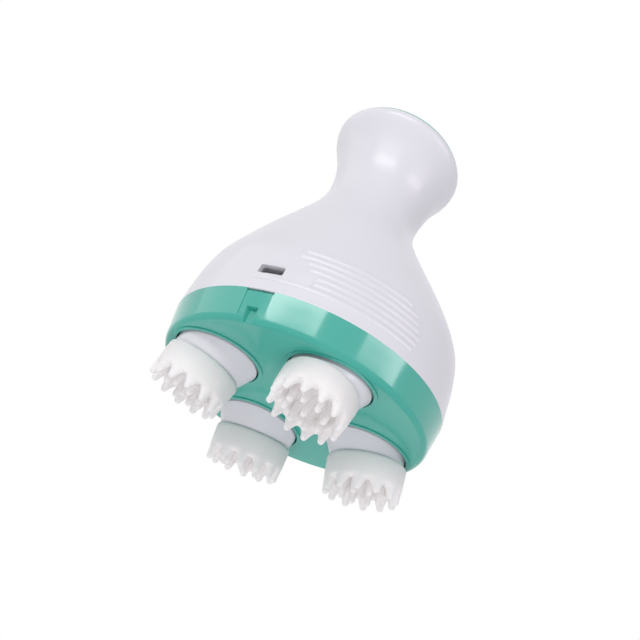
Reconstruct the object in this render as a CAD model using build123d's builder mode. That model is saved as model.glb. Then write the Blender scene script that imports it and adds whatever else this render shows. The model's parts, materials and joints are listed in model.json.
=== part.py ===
from build123d import *
import os
from math import atan, cos, pi, radians, sin, sqrt

# Electric scalp massager: a bell-shaped housing with a waisted handle, a round base
# cover and four leaning massage heads that one gear in the middle turns together.
# Millimetres, +Z up. The front, with the charging socket, faces -Y. The massager
# stands on its finger tips at Z = 0, with the bell centred on the Z axis.

# ------------------------------------------------------------------ driving dimensions
BODY_RADIUS = 50.0
WALL = 2.4
CLEARANCE = 0.3            # between a moving piece and a fixed one
RUNNING_FIT = 0.05         # radial, on a shaft

# gear train
MODULE = 1.0
DRIVE_TEETH = 33
HEAD_TEETH = 28
PRESSURE_ANGLE = 20.0
BACKLASH = 0.12
CENTRE_DISTANCE = MODULE * (DRIVE_TEETH + HEAD_TEETH) / 2
HEAD_OFFSET = CENTRE_DISTANCE / sqrt(2)

# massage heads: each silicone cap leans off the spin axis, so it kneads as it turns
CANT = 12.5
CANT_CENTRE = 8.8          # height above the underside where the two axes cross
CAP_SEAT = 13.6            # from there to the cap's rim, along the leaning axis
CAP_RIM_RADIUS = 13.9
CAP_FLOOR = 5.5            # from the rim to the floor between the fingers
CAP_WEB = 3.4              # the outer fingers are joined this far above the floor
CAP_WELL_RADIUS = 9.8
CAP_TAPER = 2.0
CAP_EDGE_RADIUS = 0.8
CAP_POCKET_RADIUS = 11.5
CAP_POCKET_DEPTH = 3.6
FINGER_LENGTH = 7.6
FINGER_SIDES = 8
FINGER_ROOT_RADIUS = 1.9
FINGER_NECK_RADIUS = 1.05
FINGER_TIP_RADIUS = 0.6
FINGER_TIP_ROUNDING = 0.5
# rings of fingers: count, ring radius at the roots and at the tips, root above the floor
FINGER_RINGS = ((1, 0.0, 0.0, 0.0), (8, 6.6, 7.0, 0.0), (12, 11.7, 12.4, CAP_WEB))
COLLAR_RADIUS = 14.6
COLLAR_SEAT_RADIUS = 13.0
COLLAR_SPIGOT_LENGTH = 3.2
COLLAR_CORE_RADIUS = 9.8
HUB_RADIUS = 4.6
HEAD_HOLE_RADIUS = 15.3
SHAFT_RADIUS = 2.0
SHAFT_CHAMFER = 0.4
SHAFT_SCREW_DEPTH = 7.0
HEAD_SCREW_RADIUS = 1.0
HEAD_SCREW_LENGTH = 9.0
HEAD_SCREW_HEAD_RADIUS = 2.2
HEAD_SCREW_HEAD_HEIGHT = 1.4
RING_THICKNESS = 0.8
RING_GROOVE_DEPTH = 0.4
RING_REACH = 1.6
RING_MOUTH = 3.0

# each head: X side, Y side, the way its cap leans, in degrees from +X, and how far the
# cap is turned on its collar
HEADS = {
    "front_left": (-1, -1, 179.0, 7.0),
    "front_right": (1, -1, 266.0, 17.0),
    "back_left": (-1, 1, 102.0, 11.0),
    "back_right": (1, 1, 44.0, 0.0),
}

# height of the base cover's underside, so that the lowest finger tips are at Z = 0
HEAD_REACH = (CAP_SEAT + CAP_FLOOR + FINGER_LENGTH) * cos(radians(CANT))
TIP_DROP = (FINGER_RINGS[2][2] + FINGER_TIP_RADIUS) * sin(radians(CANT))
UNDERSIDE = HEAD_REACH + TIP_DROP - CANT_CENTRE

# heights above the underside
CREASE = 1.5
SEAM = 11.7
FLOOR_TOP = 2.2
COLLAR_FOOT = -0.7
COLLAR_TOP = 3.2
SHAFT_FOOT = -1.0
HUB_FOOT = -4.0
CUP_CEILING = 3.6
SEAL_FOOT = 4.4
CUP_TOP = 5.6
SEAL_TOP = 6.8
LOWER_PLATE = 7.2
PLATE_THICKNESS = 2.0
GEAR_FOOT = 10.1
GEAR_TOP = 14.6
GEAR_RECESS = 1.5
GEAR_RIM = 3.5
GEAR_HUB = 3.0
DRIVE_GEAR_FOOT = 9.6
DRIVE_GEAR_TOP = 15.1
UPPER_PLATE = 16.0
UPPER_PLATE_TOP = UPPER_PLATE + PLATE_THICKNESS
RING_FOOT = 18.75
SHAFT_TOP = 20.5
DRIVE_SHAFT_TOP = 24.0

# base cover
UNDERSIDE_RADIUS = 48.57
EDGE_RADIUS = 2.2
CUP_WALL = 1.6
PAD_RADIUS = 16.6
PAD_HEIGHT = 0.4
SPIGOT_RADIUS = 46.95
SPIGOT_HEIGHT = 4.0
SPIGOT_WALL = 1.2
SPIGOT_ROOT = 4.0          # the wall thickens to meet the spigot over this height
BEAD = 0.3
BEAD_HEIGHT = 0.8
BEAD_BELOW_TOP = 1.4
BEAD_GROOVE_HEIGHT = 1.2
GASKET_RADIUS = 48.6
GASKET_REBATE = 1.2
GASKET_SLACK = 0.1
SEAM_SLOTS = ((-4.6, 0.9), (1.1, 5.5))
SEAM_SLOT_HEIGHT = 0.8
SEAM_SLOT_DEPTH = 1.2
PRY_NOTCH = (-2.9, 2.1)
PRY_NOTCH_SLOPE = 1.7
PRY_NOTCH_TOP = 5.4
PRY_NOTCH_Y = -47.2
PANEL_ARC = (-5.2, 6.0)
PANEL_DEPTH = 0.25

# chassis
PLATE_RADIUS = 40.0
PILLAR_PITCH = 35.0
PILLAR_RADIUS = 3.6
SCREW_RADIUS = 1.4
SCREW_HEAD_RADIUS = 2.8
SCREW_HEAD_HEIGHT = 1.8
SCREW_REACH = 26.0
BUSH_RADIUS = 3.5
BUSH_FLANGE_RADIUS = 4.5
BUSH_FLANGE = 0.6
SEAL_RADIUS = 5.5
SEAL_BOSS_RADIUS = 7.0
SEAL_LIP = 1.0
SEAL_RECESS = 1.2

# geared motor
DRIVE_SHAFT_RADIUS = 3.0
DRIVE_BUSH_RADIUS = 5.5
REDUCER_RADIUS = 12.5
REDUCER_TOP = 32.0
REDUCER_BORE_DEPTH = 7.0
REDUCER_LINE_HEIGHT = 0.8
REDUCER_LINE_DEPTH = 0.5
MOTOR_RADIUS = 12.1
MOTOR_TOP = 57.5
MOTOR_EDGE = 0.8
MOTOR_END_BOSS = 1.5
MOTOR_TAB = 2.0
MOTOR_TAB_PITCH = 8.5
MOTOR_SCREW_X = 8.5
MOTOR_SCREW_THREAD = 5.0

# battery, on an upright axis in the waist of the handle
BATTERY_Y = -8.0
BATTERY_RADIUS = 9.1
BATTERY_FOOT = 59.0
BATTERY_LENGTH = 34.5
BATTERY_EDGE = 0.6
BATTERY_TERMINAL = 1.0
BATTERY_SLACK = 0.1
CRADLE_WALL = 1.6
CRADLE_TOP = 92.0
CRADLE_RIB_WIDTH = 1.6
CRADLE_RIB_FOOT = 67.0
CRADLE_RIB_HEIGHT = 17.0

# control board and charging socket
SLOT_WIDTH = 9.2
SLOT_HEIGHT = 3.5
SLOT_LEVEL = 20.0
SLOT_CORNER = 0.8
SOCKET_WIDTH = 8.94
SOCKET_HEIGHT = 3.2
SOCKET_CORNER = 1.2
SOCKET_WALL = 0.3
SOCKET_LENGTH = 7.2
SOCKET_BACK = 1.0
SOCKET_FRONT = -46.6
TONGUE_WIDTH = 6.7
TONGUE_THICKNESS = 0.7
BEZEL_THICKNESS = 1.4
BOARD_THICKNESS = 1.2
BOARD_LEVEL = SLOT_LEVEL + SOCKET_HEIGHT / 2
BOARD_WIDTH = 30.0
BOARD_FRONT = -43.5
BOARD_BACK = -14.5
BOARD_CORNER = 2.0
BOARD_POST_X = 11.0
BOARD_POST_Y = -20.0
BOARD_POST_RADIUS = 2.4
CONTROLLER_Y = -24.0
CONTROLLER_WIDTH = 7.0
CHARGER_X = 9.0
CHARGER_Y = -33.0
CHARGER_WIDTH = 4.0
CHARGER_DEPTH = 5.0
CHIP_HEIGHT = 1.4
SMALL_SCREW_RADIUS = 0.9
SMALL_SCREW_HEAD_RADIUS = 1.8
SMALL_SCREW_HEAD_HEIGHT = 1.2
SMALL_SCREW_LENGTH = 4.0

# raised label area beside the socket, left bare, and the fine ribs beyond it
RELIEF = 0.3
LABEL_FROM = -5.9
LABEL_TO = 14.9
LABEL_LEVEL = 19.1
LABEL_HEIGHT = 6.2
RIB_LEVEL = 16.6
RIB_PITCH = 2.4
RIB_WIDTH = 1.9
# where each rib starts and ends, in degrees from the front, from the lowest up
RIB_ARCS = ((-6.5, 63), (18, 64.5), (18, 65), (14, 64), (12, 62.5), (8, 61), (9, 57))

# housing sections: height above the crease, centre Y, backward lean, radius
SECTIONS = (
    (10.2, 0.0, 0.0, 50.0),
    (15.0, 0.0, 0.0, 49.6),
    (20.0, 0.0, 0.0, 49.1),
    (25.0, 0.0, 0.0, 48.4),
    (30.0, 0.0, 0.0, 47.3),
    (34.0, 0.0, 0.0, 45.9),
    (38.0, -0.3, 0.3, 43.6),
    (42.0, -0.9, 0.9, 40.8),
    (46.0, -1.9, 1.9, 37.5),
    (54.0, -4.4, 5.0, 30.0),
    (62.0, -6.7, 8.6, 22.9),
    (69.0, -8.0, 11.5, 18.8),
    (77.0, -8.2, 13.5, 17.7),
    (85.0, -8.1, 14.0, 18.8),
    (93.0, -8.2, 13.2, 21.3),
    (96.8, -8.3, 12.8, 23.2),
)
# handle end, square to an axis that leans back; heights along it from KNOB_LEVEL
KNOB_LEVEL = 99.8
KNOB_Y = -8.4
KNOB_LEAN = 12.5
KNOB_RADIUS = 24.3
KNOB_BORE = 21.4
KNOB_STEP = 0.5            # narrower below the bore that takes the cap
KNOB_SEAM = 2.4
KNOB_SEAM_RADIUS = 23.75
CROWN_RADIUS = 18.0
CROWN_HEIGHT = 5.5
CROWN_TOP = 6.3
CAP_UNDERSIDE = 3.8
CAP_SPIGOT_RADIUS = 21.0
CAP_SPIGOT_FOOT = -1.6
CAP_SPIGOT_WALL = 2.0
CROWN_SWELL = 0.9
GROOVE_FOOT = -1.0
GROOVE_HEIGHT = 1.4
GASKET_GROOVE = 0.7
GASKET_SQUEEZE = 0.15
BUTTON_RADIUS = 8.5
BUTTON_TOP = 6.6
BUTTON_FOOT = 2.4
BUTTON_FLANGE_RADIUS = 10.3
BUTTON_FLANGE_TOP = 3.5
BUTTON_WALL = 1.6
BUTTON_EDGE_RADIUS = 0.8
BUTTON_STEM_RADIUS = 2.0
BUTTON_STEM_FOOT = 1.5
KEY_BOARD_TOP = -0.4
KEY_BOARD_RADIUS = 17.5
KEY_POST_RADIUS = 2.2
KEY_POST_PITCH = 14.0
KEY_SCREW_DEPTH = 3.0
KEY_SWITCH_WIDTH = 6.0
KEY_SWITCH_HEIGHT = 0.8
KEY_PLUNGER_RADIUS = 1.7
KEY_PLUNGER_HEIGHT = 0.4
LIGHT_RADIUS = 1.1
LIGHT_BELOW_CROWN = 0.4


# ---------------------------------------------------------------------------- helpers
def save(builder, name):
    """Label a finished piece and write it to its own file."""
    builder.part.label = name
    export_step(builder.part, f"parts/{name}.step")


def level(height, x=0.0, y=0.0):
    """Horizontal plane at a height above the underside."""
    return Plane(origin=(x, y, UNDERSIDE + height), z_dir=(0, 0, 1))


def leaning_level(height, y, lean, along=0.0):
    """Plane across the handle at a height above the crease, leaning back."""
    centre = (0, y, UNDERSIDE + CREASE + height)
    normal = (0, sin(radians(lean)), cos(radians(lean)))
    return Plane(origin=centre, x_dir=(1, 0, 0), z_dir=normal).offset(along)


def knob_level(along):
    """Plane square to the handle end's axis."""
    return leaning_level(KNOB_LEVEL, KNOB_Y, KNOB_LEAN, along)


def head_plane(name, height=0.0, turn=None):
    """Plane square to a head's spin axis; its X axis is the way the cap leans."""
    side_x, side_y, lean, _ = HEADS[name]
    angle = radians(lean if turn is None else turn)
    return Plane(
        origin=(side_x * HEAD_OFFSET, side_y * HEAD_OFFSET, UNDERSIDE + height),
        x_dir=(cos(angle), sin(angle), 0),
        z_dir=(0, 0, 1),
    )


def cap_plane(name, along):
    """Plane square to a cap's leaning axis, some way down it, facing up."""
    cant = radians(CANT)
    local = Plane(
        origin=(along * sin(cant), 0, CANT_CENTRE - along * cos(cant)),
        x_dir=(cos(cant), 0, sin(cant)),
        z_dir=(-sin(cant), 0, cos(cant)),
    )
    return Plane(head_plane(name).location * local.location)


def mesh_turn(name):
    """Turn of a head gear, in degrees, that puts a gap of it at a drive gear tooth."""
    side_x, side_y, _, _ = HEADS[name]
    bearing = {(1, 1): 45, (-1, 1): 135, (-1, -1): 225, (1, -1): 315}[side_x, side_y]
    return bearing + 180 + (bearing * DRIVE_TEETH - 180) / HEAD_TEETH


def gear_outline(teeth):
    """Closed outline of an involute spur gear, with a tooth on its X axis."""
    pitch = MODULE * teeth / 2
    base = pitch * cos(radians(PRESSURE_ANGLE))
    root = pitch - 1.25 * MODULE

    def involute(radius):
        slope = sqrt(max((radius / base) ** 2 - 1, 0))
        return slope - atan(slope)

    def half_angle(radius):
        half_tooth = (pi * MODULE / 2 - BACKLASH) / 2 / pitch
        return half_tooth + involute(pitch) - involute(max(radius, base))

    flank = [root, base, pitch, pitch + MODULE]
    outline = []
    for tooth in range(teeth):
        middle = 2 * pi * tooth / teeth
        sides = [(r, middle - half_angle(r)) for r in flank]
        sides += [(r, middle + half_angle(r)) for r in reversed(flank)]
        outline += [(r * cos(angle), r * sin(angle)) for r, angle in sides]
    return outline


def band_radius(height):
    """Outer radius of the base cover at a height above the underside."""
    return UNDERSIDE_RADIUS + (BODY_RADIUS - UNDERSIDE_RADIUS) * height / SEAM


def bell_radius(height):
    """Outer radius of the lower bell at a height above the underside."""
    above_crease = height - CREASE
    for (low, _, _, wide), (high, _, _, narrow) in zip(SECTIONS, SECTIONS[1:]):
        if above_crease <= high:
            return wide + (narrow - wide) * (above_crease - low) / (high - low)
    return KNOB_RADIUS


def front_bearing(degrees):
    """Side view plane turned about Z, from the front toward +X, to start an arc."""
    angle = radians(degrees)
    return Plane(
        origin=(0, 0, UNDERSIDE),
        x_dir=(sin(angle), -cos(angle), 0),
        z_dir=(-cos(angle), -sin(angle), 0),
    )


os.makedirs("parts", exist_ok=True)
KNOB_AXIS = Axis(knob_level(0).origin, knob_level(0).z_dir)
KNOB_SIDE = Plane(
    origin=knob_level(0).origin,
    x_dir=(1, 0, 0),
    z_dir=Vector(1, 0, 0).cross(knob_level(0).z_dir),
)
PILLARS = [(PILLAR_PITCH, 0), (0, PILLAR_PITCH), (-PILLAR_PITCH, 0), (0, -PILLAR_PITCH)]
HEAD_CENTRES = [(x * HEAD_OFFSET, y * HEAD_OFFSET) for x, y, _, _ in HEADS.values()]
BOARD_POSTS = [(BOARD_POST_X, BOARD_POST_Y), (-BOARD_POST_X, BOARD_POST_Y)]
MOTOR_SCREWS = [level(UPPER_PLATE, x).location for x in (MOTOR_SCREW_X, -MOTOR_SCREW_X)]
CRADLE_BORE = BATTERY_RADIUS + BATTERY_SLACK
STANDING = (Align.CENTER, Align.CENTER, Align.MIN)

# ---------------------------------------------------------------------------- housing
# the space inside the housing, less the bosses and ribs that stand in it
with BuildPart() as inside:
    for height, y, lean, radius in SECTIONS:
        with BuildSketch(leaning_level(height, y, lean)):
            Circle(radius - WALL)
    with BuildSketch(knob_level(0)):
        Circle(KNOB_BORE - KNOB_STEP)
    loft()
    with BuildSketch(knob_level(KNOB_SEAM)):
        Circle(KNOB_BORE)
    extrude(amount=-KNOB_SEAM - WALL)
    with BuildSketch(level(UPPER_PLATE_TOP)):
        with Locations(*PILLARS):
            Circle(PILLAR_RADIUS)
    extrude(amount=BODY_RADIUS, mode=Mode.SUBTRACT)
    with BuildSketch(level(CRADLE_RIB_FOOT, y=BATTERY_Y)):
        with PolarLocations(CRADLE_BORE + CRADLE_WALL, 3, start_angle=90):
            Rectangle(BATTERY_RADIUS, CRADLE_RIB_WIDTH, align=(Align.MIN, Align.CENTER))
    extrude(amount=CRADLE_RIB_HEIGHT, mode=Mode.SUBTRACT)

# smooth raised area beside the socket, kept to a thin skin on the bell
with BuildPart() as label_area:
    with BuildSketch(Plane.XZ.offset(BODY_RADIUS / 2)):
        with Locations(((LABEL_FROM + LABEL_TO) / 2, UNDERSIDE + LABEL_LEVEL)):
            SlotOverall(LABEL_TO - LABEL_FROM, LABEL_HEIGHT)
    extrude(amount=BODY_RADIUS)
    with BuildSketch(Plane.XZ):
        with BuildLine():
            low, high = SEAM, SEAM + 2 * LABEL_HEIGHT
            Polyline(
                (0, UNDERSIDE + low),
                (bell_radius(low) + RELIEF, UNDERSIDE + low),
                (bell_radius(high) + RELIEF, UNDERSIDE + high),
                (0, UNDERSIDE + high),
                close=True,
            )
        make_face()
    revolve(axis=Axis.Z, mode=Mode.INTERSECT)

with BuildPart() as housing_shell:
    for height, y, lean, radius in SECTIONS:
        with BuildSketch(leaning_level(height, y, lean)):
            Circle(radius)
    with BuildSketch(knob_level(0)):
        Circle(KNOB_RADIUS)
    with BuildSketch(knob_level(KNOB_SEAM)):
        Circle(KNOB_SEAM_RADIUS)
    loft()
    add(label_area.part)
    ribs = []
    for rib, (start, end) in enumerate(RIB_ARCS):
        rib_level = RIB_LEVEL + rib * RIB_PITCH
        with BuildSketch(front_bearing(start)):
            with Locations((bell_radius(rib_level), rib_level)):
                Ellipse(RELIEF, RIB_WIDTH / 2)
        arc = end - start
        ribs.append(revolve(axis=Axis.Z, revolution_arc=arc, mode=Mode.PRIVATE))
    add(ribs)
    add(inside.part, mode=Mode.SUBTRACT)
    # slot for the charging socket
    with BuildSketch(Plane.XZ.offset(BODY_RADIUS - 2 * WALL)):
        with Locations((0, UNDERSIDE + SLOT_LEVEL)):
            RectangleRounded(SLOT_WIDTH, SLOT_HEIGHT, SLOT_CORNER)
    extrude(amount=3 * WALL, mode=Mode.SUBTRACT)
    # rebate for the base gasket and groove for the snap bead
    with BuildSketch(level(SEAM)):
        Circle(GASKET_RADIUS)
    extrude(amount=GASKET_REBATE, mode=Mode.SUBTRACT)
    groove_play = (BEAD_GROOVE_HEIGHT - BEAD_HEIGHT) / 2
    with BuildSketch(level(SEAM + SPIGOT_HEIGHT - BEAD_BELOW_TOP - groove_play)):
        Circle(SPIGOT_RADIUS + 2 * BEAD)
    extrude(amount=BEAD_GROOVE_HEIGHT, mode=Mode.SUBTRACT)
    # screw holes in the four bosses
    with BuildSketch(level(UPPER_PLATE_TOP)):
        with Locations(*PILLARS):
            Circle(SCREW_RADIUS)
    extrude(amount=SCREW_REACH - UPPER_PLATE_TOP + SCREW_RADIUS, mode=Mode.SUBTRACT)
save(housing_shell, "housing_shell")

# ------------------------------------------------------------------------- base cover
with BuildPart() as base_cover:
    with BuildSketch(Plane.XZ):
        with BuildLine():
            spigot_inside = SPIGOT_RADIUS - SPIGOT_WALL
            corner = Polyline(
                (0, UNDERSIDE + FLOOR_TOP),
                (0, UNDERSIDE),
                (UNDERSIDE_RADIUS, UNDERSIDE),
                (BODY_RADIUS, UNDERSIDE + SEAM),
                (SPIGOT_RADIUS, UNDERSIDE + SEAM),
                (SPIGOT_RADIUS, UNDERSIDE + SEAM + SPIGOT_HEIGHT),
                (spigot_inside, UNDERSIDE + SEAM + SPIGOT_HEIGHT),
                (spigot_inside, UNDERSIDE + SEAM - WALL),
                (SPIGOT_RADIUS, UNDERSIDE + SEAM - SPIGOT_ROOT),
                (UNDERSIDE_RADIUS - WALL, UNDERSIDE + FLOOR_TOP),
                close=True,
            )
        make_face()
        fillet(corner.vertices().sort_by(Axis.X)[-2], EDGE_RADIUS)
    revolve(axis=Axis.Z)
    # snap bead round the spigot
    with BuildSketch(level(SEAM + SPIGOT_HEIGHT - BEAD_BELOW_TOP)):
        Circle(SPIGOT_RADIUS + BEAD)
        Circle(SPIGOT_RADIUS - BEAD, mode=Mode.SUBTRACT)
    extrude(amount=BEAD_HEIGHT)
    # raised pad, cup and seal boss round each head
    with BuildSketch(level(-PAD_HEIGHT)):
        with Locations(*HEAD_CENTRES):
            Circle(PAD_RADIUS)
    extrude(amount=PAD_HEIGHT + FLOOR_TOP / 2)
    with BuildSketch(level(FLOOR_TOP / 2)):
        with Locations(*HEAD_CENTRES):
            Circle(HEAD_HOLE_RADIUS + CUP_WALL)
    extrude(amount=CUP_TOP - FLOOR_TOP / 2)
    with BuildSketch(level(CUP_TOP)):
        with Locations(*HEAD_CENTRES):
            Circle(SEAL_BOSS_RADIUS)
    extrude(amount=SEAL_TOP - CUP_TOP)
    with BuildSketch(level(-PAD_HEIGHT)):
        with Locations(*HEAD_CENTRES):
            Circle(HEAD_HOLE_RADIUS)
    extrude(amount=PAD_HEIGHT + CUP_CEILING, mode=Mode.SUBTRACT)
    with BuildSketch(level(CUP_CEILING)):
        with Locations(*HEAD_CENTRES):
            Circle(SHAFT_RADIUS + SEAL_LIP)
    extrude(amount=SEAL_FOOT - CUP_CEILING, mode=Mode.SUBTRACT)
    with BuildSketch(level(SEAL_FOOT)):
        with Locations(*HEAD_CENTRES):
            Circle(SEAL_RADIUS)
    extrude(amount=SEAL_TOP - SEAL_FOOT, mode=Mode.SUBTRACT)
    # front panel, shallow, the full height of the band
    with BuildSketch(front_bearing(PANEL_ARC[0])):
        with BuildLine():
            Polyline(
                (band_radius(EDGE_RADIUS) - PANEL_DEPTH, EDGE_RADIUS),
                (BODY_RADIUS + WALL, EDGE_RADIUS),
                (BODY_RADIUS + WALL, SEAM),
                (band_radius(SEAM) - PANEL_DEPTH, SEAM),
                close=True,
            )
        make_face()
    revolve(axis=Axis.Z, revolution_arc=PANEL_ARC[1] - PANEL_ARC[0], mode=Mode.SUBTRACT)
    # seam slots and pry notch
    for left, right in SEAM_SLOTS:
        with BuildSketch(level(SEAM - SEAM_SLOT_HEIGHT, (left + right) / 2, -BODY_RADIUS)):
            Rectangle(right - left, 2 * SEAM_SLOT_DEPTH)
        extrude(amount=SEAM_SLOT_HEIGHT, mode=Mode.SUBTRACT)
    with BuildSketch(level(0)):
        with BuildLine():
            left, right = PRY_NOTCH
            Polyline(
                (left, -BODY_RADIUS),
                (left + PRY_NOTCH_SLOPE, PRY_NOTCH_Y),
                (right, PRY_NOTCH_Y),
                (right, -BODY_RADIUS),
                close=True,
            )
        make_face()
    extrude(amount=PRY_NOTCH_TOP, mode=Mode.SUBTRACT)
save(base_cover, "base_cover")

with BuildPart() as base_gasket:
    with BuildSketch(level(SEAM)):
        Circle(GASKET_RADIUS - GASKET_SLACK)
        Circle(SPIGOT_RADIUS + GASKET_SLACK, mode=Mode.SUBTRACT)
    extrude(amount=GASKET_REBATE - GASKET_SLACK)
save(base_gasket, "base_gasket")

# -------------------------------------------------------------------------- gearbox
with BuildPart() as lower_plate:
    with BuildSketch(level(LOWER_PLATE)):
        Circle(PLATE_RADIUS)
    extrude(amount=PLATE_THICKNESS)
    with BuildSketch(level(LOWER_PLATE)):
        with Locations(*PILLARS):
            Circle(PILLAR_RADIUS)
    extrude(amount=UPPER_PLATE - LOWER_PLATE)
    with BuildSketch(level(LOWER_PLATE)):
        with Locations(*PILLARS):
            Circle(SCREW_RADIUS + RUNNING_FIT)
        with Locations(*HEAD_CENTRES):
            Circle(BUSH_RADIUS)
        Circle(DRIVE_BUSH_RADIUS)
    extrude(amount=UPPER_PLATE - LOWER_PLATE, mode=Mode.SUBTRACT)
save(lower_plate, "lower_plate")

with BuildPart() as upper_plate:
    with BuildSketch(level(UPPER_PLATE)):
        Circle(PLATE_RADIUS)
        with Locations(*PILLARS):
            Circle(SCREW_RADIUS + RUNNING_FIT, mode=Mode.SUBTRACT)
        with Locations(*HEAD_CENTRES):
            Circle(BUSH_RADIUS, mode=Mode.SUBTRACT)
        Circle(DRIVE_BUSH_RADIUS, mode=Mode.SUBTRACT)
    extrude(amount=PLATE_THICKNESS)
    with BuildSketch(level(UPPER_PLATE_TOP)):
        with Locations(*BOARD_POSTS):
            Circle(BOARD_POST_RADIUS)
    extrude(amount=BOARD_LEVEL - UPPER_PLATE_TOP)
    with BuildSketch(level(UPPER_PLATE)):
        with Locations(*BOARD_POSTS):
            Circle(SMALL_SCREW_RADIUS)
    extrude(amount=BOARD_LEVEL - UPPER_PLATE, mode=Mode.SUBTRACT)
    sunk = {"align": STANDING, "mode": Mode.SUBTRACT}
    with Locations(*MOTOR_SCREWS):
        Cone(SCREW_HEAD_RADIUS, SCREW_RADIUS, SCREW_RADIUS, **sunk)
        Cylinder(SCREW_RADIUS, PLATE_THICKNESS, **sunk)
save(upper_plate, "upper_plate")

with BuildPart() as plate_screws:
    with BuildSketch(level(LOWER_PLATE)):
        with Locations(*PILLARS):
            Circle(SCREW_HEAD_RADIUS)
    extrude(amount=-SCREW_HEAD_HEIGHT)
    with BuildSketch(level(LOWER_PLATE)):
        with Locations(*PILLARS):
            Circle(SCREW_RADIUS)
    extrude(amount=SCREW_REACH - LOWER_PLATE)
    with BuildSketch(level(LOWER_PLATE - SCREW_HEAD_HEIGHT)):
        with Locations(*PILLARS):
            RegularPolygon(SCREW_RADIUS, 6)
    extrude(amount=SCREW_HEAD_HEIGHT / 2, mode=Mode.SUBTRACT)
save(plate_screws, "plate_screws")


def bushes(name, foot):
    """Flanged bushes, one for each head shaft, pressed into a plate."""
    with BuildPart() as group:
        with BuildSketch(level(foot)):
            with Locations(*HEAD_CENTRES):
                Circle(BUSH_RADIUS)
        extrude(amount=PLATE_THICKNESS + BUSH_FLANGE)
        with BuildSketch(level(foot + PLATE_THICKNESS)):
            with Locations(*HEAD_CENTRES):
                Circle(BUSH_FLANGE_RADIUS)
        extrude(amount=BUSH_FLANGE)
        with BuildSketch(level(foot)):
            with Locations(*HEAD_CENTRES):
                Circle(SHAFT_RADIUS + RUNNING_FIT)
        extrude(amount=PLATE_THICKNESS + BUSH_FLANGE, mode=Mode.SUBTRACT)
    save(group, name)


bushes("lower_bushes", LOWER_PLATE)
bushes("upper_bushes", UPPER_PLATE)

with BuildPart() as drive_bush:
    with BuildSketch(level(LOWER_PLATE)):
        Circle(DRIVE_BUSH_RADIUS)
        Circle(DRIVE_SHAFT_RADIUS + RUNNING_FIT, mode=Mode.SUBTRACT)
    extrude(amount=PLATE_THICKNESS)
save(drive_bush, "drive_bush")

with BuildPart() as shaft_seals:
    with BuildSketch(level(SEAL_FOOT)):
        with Locations(*HEAD_CENTRES):
            Circle(SEAL_RADIUS)
            Circle(SHAFT_RADIUS + RUNNING_FIT, mode=Mode.SUBTRACT)
    extrude(amount=SEAL_TOP - SEAL_FOOT)
    with BuildSketch(level(SEAL_TOP)):
        with Locations(*HEAD_CENTRES):
            Circle(SEAL_RADIUS - SEAL_LIP)
            Circle(SHAFT_RADIUS + SEAL_LIP, mode=Mode.SUBTRACT)
    extrude(amount=-SEAL_RECESS, mode=Mode.SUBTRACT)
save(shaft_seals, "shaft_seals")

with BuildPart() as drive_gear:
    with BuildSketch(level(DRIVE_GEAR_FOOT)):
        with BuildLine():
            Polyline(*gear_outline(DRIVE_TEETH), close=True)
        make_face()
        Circle(DRIVE_SHAFT_RADIUS, mode=Mode.SUBTRACT)
    extrude(amount=DRIVE_GEAR_TOP - DRIVE_GEAR_FOOT)
    # lightening groove in the upper face
    with BuildSketch(level(DRIVE_GEAR_TOP)):
        Circle(MODULE * DRIVE_TEETH / 2 - GEAR_RIM)
        Circle(DRIVE_SHAFT_RADIUS + GEAR_HUB, mode=Mode.SUBTRACT)
    extrude(amount=-GEAR_RECESS, mode=Mode.SUBTRACT)
save(drive_gear, "drive_gear")

with BuildPart() as drive_shaft:
    with BuildSketch(level(LOWER_PLATE + CLEARANCE)):
        Circle(DRIVE_SHAFT_RADIUS)
    extrude(amount=DRIVE_SHAFT_TOP - LOWER_PLATE - CLEARANCE)
    chamfer(drive_shaft.edges().group_by(Axis.Z)[0], SHAFT_CHAMFER)
save(drive_shaft, "drive_shaft")

with BuildPart() as reduction_gearbox:
    with BuildSketch(level(UPPER_PLATE_TOP)):
        Circle(REDUCER_RADIUS)
    extrude(amount=REDUCER_TOP - UPPER_PLATE_TOP)
    # a joint line round the middle of its case
    with BuildSketch(level((UPPER_PLATE_TOP + REDUCER_TOP) / 2)):
        Circle(REDUCER_RADIUS)
        Circle(REDUCER_RADIUS - REDUCER_LINE_DEPTH, mode=Mode.SUBTRACT)
    extrude(amount=REDUCER_LINE_HEIGHT, mode=Mode.SUBTRACT)
    with BuildSketch(level(UPPER_PLATE_TOP)):
        Circle(DRIVE_SHAFT_RADIUS + RUNNING_FIT)
    extrude(amount=REDUCER_BORE_DEPTH, mode=Mode.SUBTRACT)
    with BuildSketch(level(UPPER_PLATE_TOP)):
        with Locations((MOTOR_SCREW_X, 0), (-MOTOR_SCREW_X, 0)):
            Circle(SCREW_RADIUS)
    extrude(amount=MOTOR_SCREW_THREAD + CLEARANCE, mode=Mode.SUBTRACT)
save(reduction_gearbox, "reduction_gearbox")

with BuildPart() as motor_screws:
    with Locations(*MOTOR_SCREWS):
        Cone(SCREW_HEAD_RADIUS, SCREW_RADIUS, SCREW_RADIUS, align=STANDING)
        Cylinder(SCREW_RADIUS, PLATE_THICKNESS + MOTOR_SCREW_THREAD, align=STANDING)
save(motor_screws, "motor_screws")

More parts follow.
